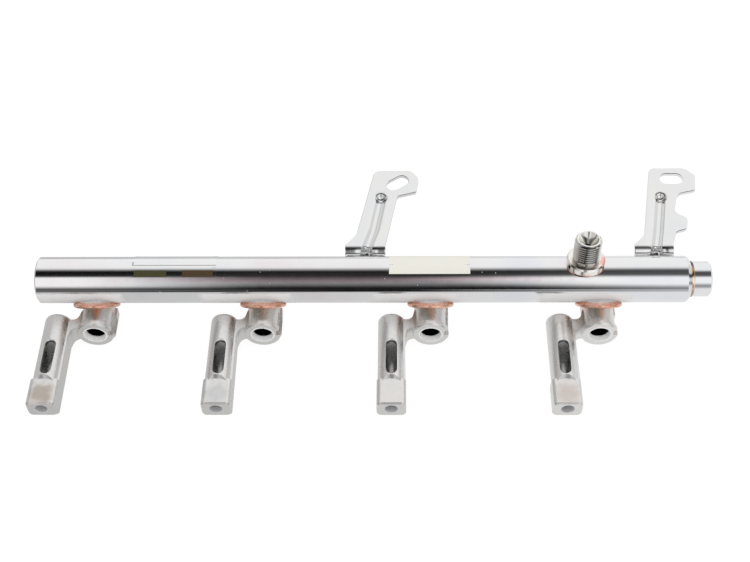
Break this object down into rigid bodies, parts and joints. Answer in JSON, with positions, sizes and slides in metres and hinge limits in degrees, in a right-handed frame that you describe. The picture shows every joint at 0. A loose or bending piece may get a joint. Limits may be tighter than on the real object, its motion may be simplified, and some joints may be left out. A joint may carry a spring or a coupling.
{
  "type": "fuel rail",
  "caption": "Brazed direct-injection fuel rail: a thick plated tube with cast injector cups on bolt posts, a threaded inlet, a sensor port and slotted sheet brackets.",
  "frame": {"origin": "on the four foot faces, on the line of the bolt holes, midway along them", "axes": "+X along the rail toward the sensor port, -Y the way the injectors and bolts point, +Z toward the side of the fuel inlet"},
  "size_m": [0.3523, 0.1429, 0.0555],
  "materials": {
    "bright_plate": "bright nickel plate",
    "satin_plate": "satin nickel plate",
    "sheet_plate": "bright nickel plate",
    "copper": "braze as melted",
    "cream_paper": "matt paper",
    "clear_film": "clear film"
  },
  "bodies": {
    "root": {"rail_tube": "bright_plate", "left_end_plug": "satin_plate", "left_end_braze": "copper", "sensor_port": "satin_plate", "right_end_braze": "copper", "inlet_fitting": "bright_plate", "inlet_braze": "copper", "center_bracket": "sheet_plate", "end_bracket": "sheet_plate", "center_bracket_braze": "copper", "end_bracket_braze": "copper", "cream_label": "cream_paper", "clear_label": "clear_film", "injector_holder_1": "satin_plate", "holder_braze_1": "copper", "injector_holder_2": "satin_plate", "holder_braze_2": "copper", "injector_holder_3": "satin_plate", "holder_braze_3": "copper", "injector_holder_4": "satin_plate", "holder_braze_4": "copper"}
  },
  "joints": []
}
